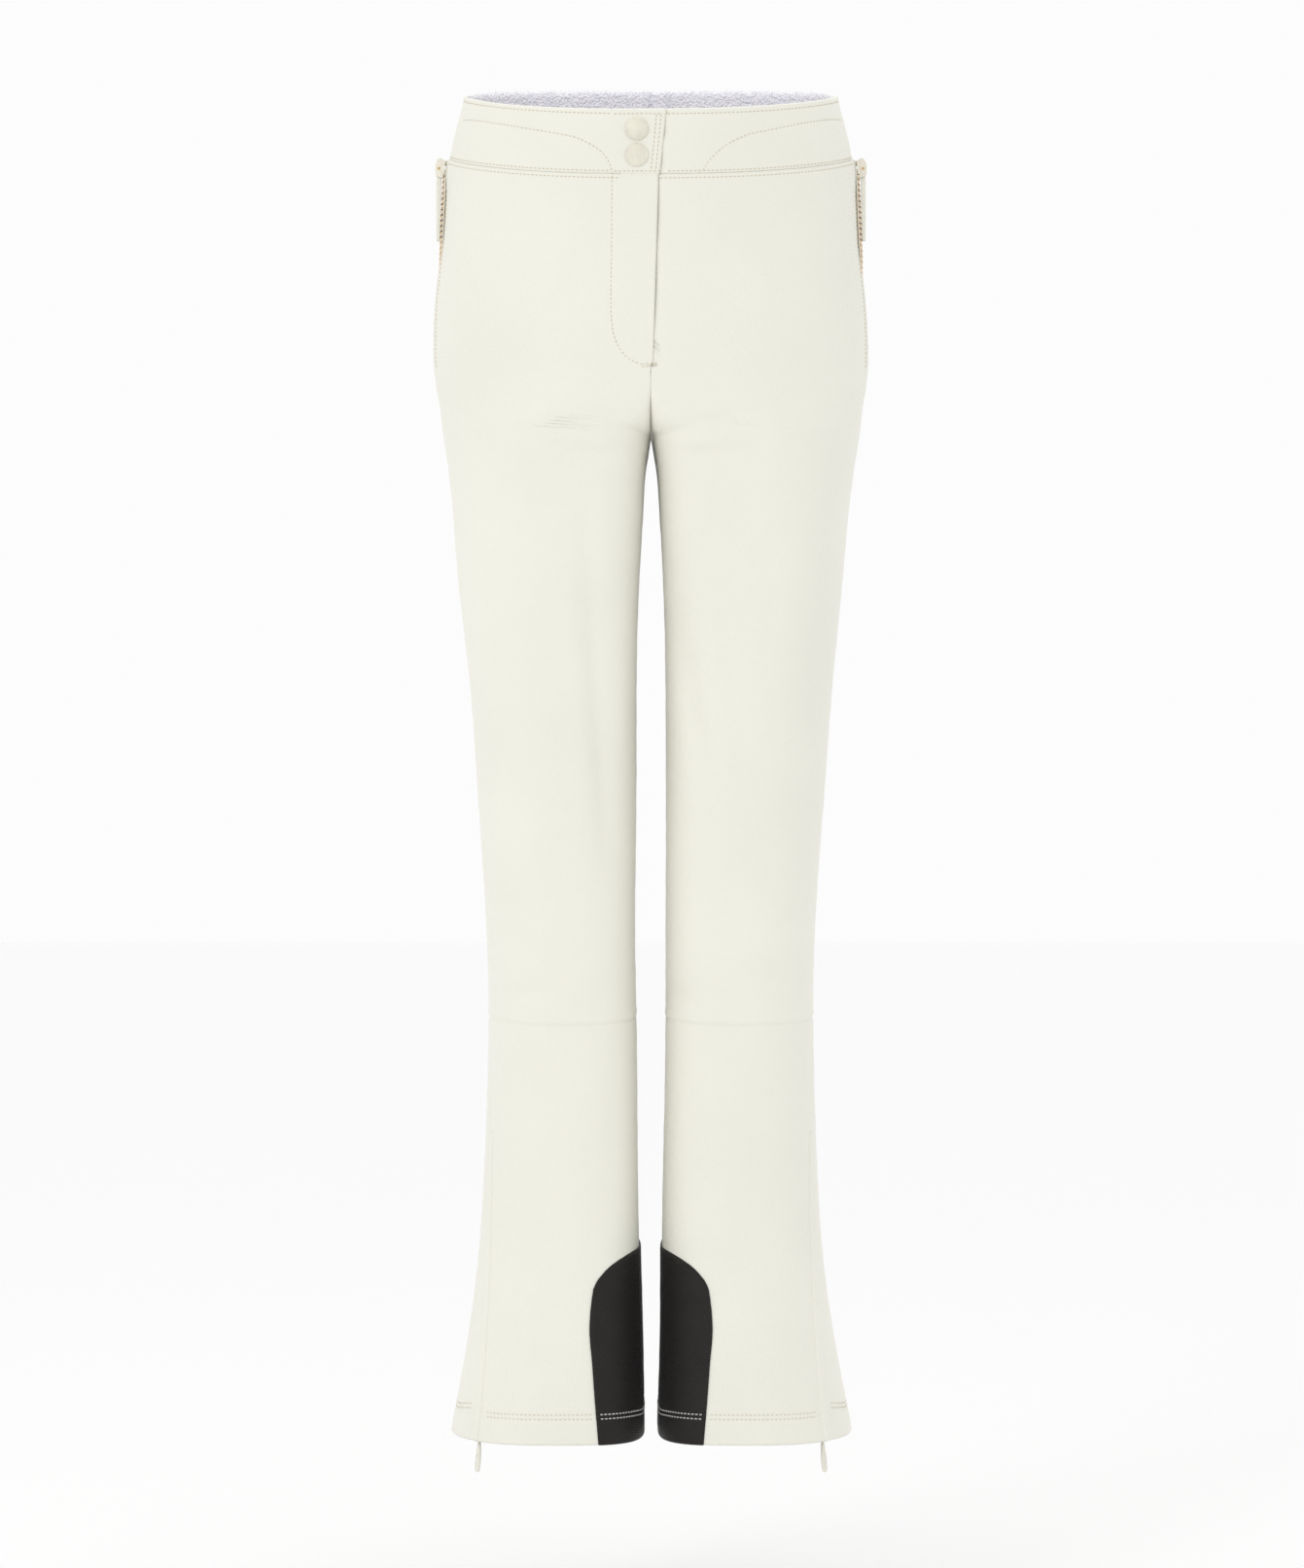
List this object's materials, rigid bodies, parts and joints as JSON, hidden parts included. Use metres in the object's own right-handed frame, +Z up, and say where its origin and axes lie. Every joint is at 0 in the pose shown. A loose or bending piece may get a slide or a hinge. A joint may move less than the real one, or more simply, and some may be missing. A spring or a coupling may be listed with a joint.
{
  "type": "ski pants",
  "caption": "Flared insulated ski trousers with lapped snap-and-zip fly, zipped side pockets, zipped ankles and reinforced inner hem patches; legs bend at hip and knee.",
  "frame": {"origin": "centre of the waist opening, level with its side seams", "axes": "+Z up, -Y towards the front of the wearer, +X towards the left of the wearer"},
  "size_m": [0.3464, 0.2238, 1.1137],
  "materials": {
    "shell_cloth": "matt stretch softshell, fine twill face",
    "fleece_lining": "brushed fleece",
    "facing_cloth": "matt cloth tape",
    "kick_twill": "dense black twill, slightly glossy",
    "snap_cap": "cloth-covered cap, ribbed",
    "snap_metal": "plated",
    "moulded_teeth": "moulded acetal",
    "nylon_coil": "nylon monofilament",
    "zip_tape": "woven polyester tape",
    "slider_enamel": "cream enamel",
    "fly_slider_metal": "cream enamel",
    "ankle_slider_brass": "satin",
    "pull_tab": "soft matt",
    "gaiter_cloth": "thin coated taffeta",
    "elastic": "woven elastic with grip print"
  },
  "bodies": {
    "hips": {"waistband_left": "shell_cloth", "waistband_right": "shell_cloth", "waistband_back": "shell_cloth", "waistband_lining": "fleece_lining", "hip_front_left": "shell_cloth", "hip_front_right": "shell_cloth", "hip_back_left": "shell_cloth", "hip_back_right": "shell_cloth", "waist_underlap": "shell_cloth", "fly_shield": "fleece_lining", "fly_tape": "zip_tape", "fly_coil": "nylon_coil", "snap_studs": "snap_metal", "pocket_bag_left": "fleece_lining", "pocket_bag_right": "fleece_lining", "pocket_tape_left": "zip_tape", "pocket_tape_right": "zip_tape", "pocket_teeth_left": "moulded_teeth", "pocket_teeth_right": "moulded_teeth", "hip_fold_left": "shell_cloth", "hip_fold_right": "shell_cloth"},
    "fly_flap": {"waist_tab": "shell_cloth", "fly_panel": "shell_cloth", "fly_facing": "fleece_lining", "snap_caps": "snap_cap", "snap_sockets": "snap_metal"},
    "fly_slider": {"fly_slider": "fly_slider_metal", "fly_pull": "fly_slider_metal"},
    "left_thigh": {"thigh_front_left": "shell_cloth", "thigh_back_left": "shell_cloth", "knee_fold_left": "shell_cloth"},
    "left_shin": {"shin_front_left": "shell_cloth", "shin_back_left": "shell_cloth", "kick_patch_left": "kick_twill", "hem_facing_left": "facing_cloth", "ankle_welt_left": "shell_cloth", "ankle_tape_left": "zip_tape", "ankle_coil_left": "nylon_coil", "gaiter_left": "gaiter_cloth", "gaiter_elastic_left": "elastic"},
    "left_pocket_slider": {"pocket_slider_left": "slider_enamel"},
    "left_pocket_pull": {"pocket_pull_left": "pull_tab"},
    "left_ankle_slider": {"ankle_slider_left": "ankle_slider_brass"},
    "left_ankle_pull": {"ankle_pull_left": "pull_tab"},
    "right_thigh": {"thigh_front_right": "shell_cloth", "thigh_back_right": "shell_cloth", "knee_fold_right": "shell_cloth"},
    "right_shin": {"shin_front_right": "shell_cloth", "shin_back_right": "shell_cloth", "kick_patch_right": "kick_twill", "hem_facing_right": "facing_cloth", "ankle_welt_right": "shell_cloth", "ankle_tape_right": "zip_tape", "ankle_coil_right": "nylon_coil", "gaiter_right": "gaiter_cloth", "gaiter_elastic_right": "elastic"},
    "right_pocket_slider": {"pocket_slider_right": "slider_enamel"},
    "right_pocket_pull": {"pocket_pull_right": "pull_tab"},
    "right_ankle_slider": {"ankle_slider_right": "ankle_slider_brass"},
    "right_ankle_pull": {"ankle_pull_right": "pull_tab"}
  },
  "joints": [
    {"name": "left_hip", "type": "hinge", "parent": "hips", "child": "left_thigh", "pos_m": [0.0835, 0, -0.215], "axis": [-1, 0, 0], "range_deg": [-15, 90], "deforming": ["hip_fold_left"]},
    {"name": "left_knee", "type": "hinge", "parent": "left_thigh", "child": "left_shin", "pos_m": [0.073, 0, -0.65], "axis": [1, 0, 0], "range_deg": [0, 90], "deforming": ["knee_fold_left"]},
    {"name": "right_hip", "type": "hinge", "parent": "hips", "child": "right_thigh", "pos_m": [-0.0835, 0, -0.215], "axis": [-1, 0, 0], "range_deg": [-15, 90], "deforming": ["hip_fold_right"]},
    {"name": "right_knee", "type": "hinge", "parent": "right_thigh", "child": "right_shin", "pos_m": [-0.073, 0, -0.65], "axis": [1, 0, 0], "range_deg": [0, 90], "deforming": ["knee_fold_right"]},
    {"name": "fly_fold", "type": "hinge", "parent": "hips", "child": "fly_flap", "pos_m": [-0.0162, -0.1077, -0.127], "axis": [0.1469, 0, -0.9892], "range_deg": [0, 110]},
    {"name": "fly_zip", "type": "slide", "parent": "hips", "child": "fly_slider", "axis": [0.0428, -0.0019, -0.9991], "range_m": [0, 0.12]},
    {"name": "left_pocket_zip", "type": "slide", "parent": "hips", "child": "left_pocket_slider", "axis": [0.042, -0.0052, -0.9991], "range_m": [0, 0.14]},
    {"name": "left_pocket_tab", "type": "hinge", "parent": "left_pocket_slider", "child": "left_pocket_pull", "pos_m": [0.17026, -0.01555, -0.06], "axis": [-0.1233, -0.9924, 0], "range_deg": [0, 120]},
    {"name": "left_ankle_zip", "type": "slide", "parent": "left_shin", "child": "left_ankle_slider", "axis": [-0.0717, 0.152, 0.9858], "range_m": [0, 0.2]},
    {"name": "left_ankle_tab", "type": "hinge", "parent": "left_ankle_slider", "child": "left_ankle_pull", "pos_m": [0.13532, -0.06715, -1.07138], "axis": [0.6208, 0.7803, -0.0752], "range_deg": [-45, 0]},
    {"name": "right_pocket_zip", "type": "slide", "parent": "hips", "child": "right_pocket_slider", "axis": [-0.042, -0.0052, -0.9991], "range_m": [0, 0.14]},
    {"name": "right_pocket_tab", "type": "hinge", "parent": "right_pocket_slider", "child": "right_pocket_pull", "pos_m": [-0.17026, -0.01555, -0.06], "axis": [-0.1233, 0.9924, 0], "range_deg": [0, 120]},
    {"name": "right_ankle_zip", "type": "slide", "parent": "right_shin", "child": "right_ankle_slider", "axis": [0.0717, 0.152, 0.9858], "range_m": [0, 0.2]},
    {"name": "right_ankle_tab", "type": "hinge", "parent": "right_ankle_slider", "child": "right_ankle_pull", "pos_m": [-0.13532, -0.06715, -1.07138], "axis": [0.6208, -0.7803, 0.0752], "range_deg": [-45, 0]}
  ]
}
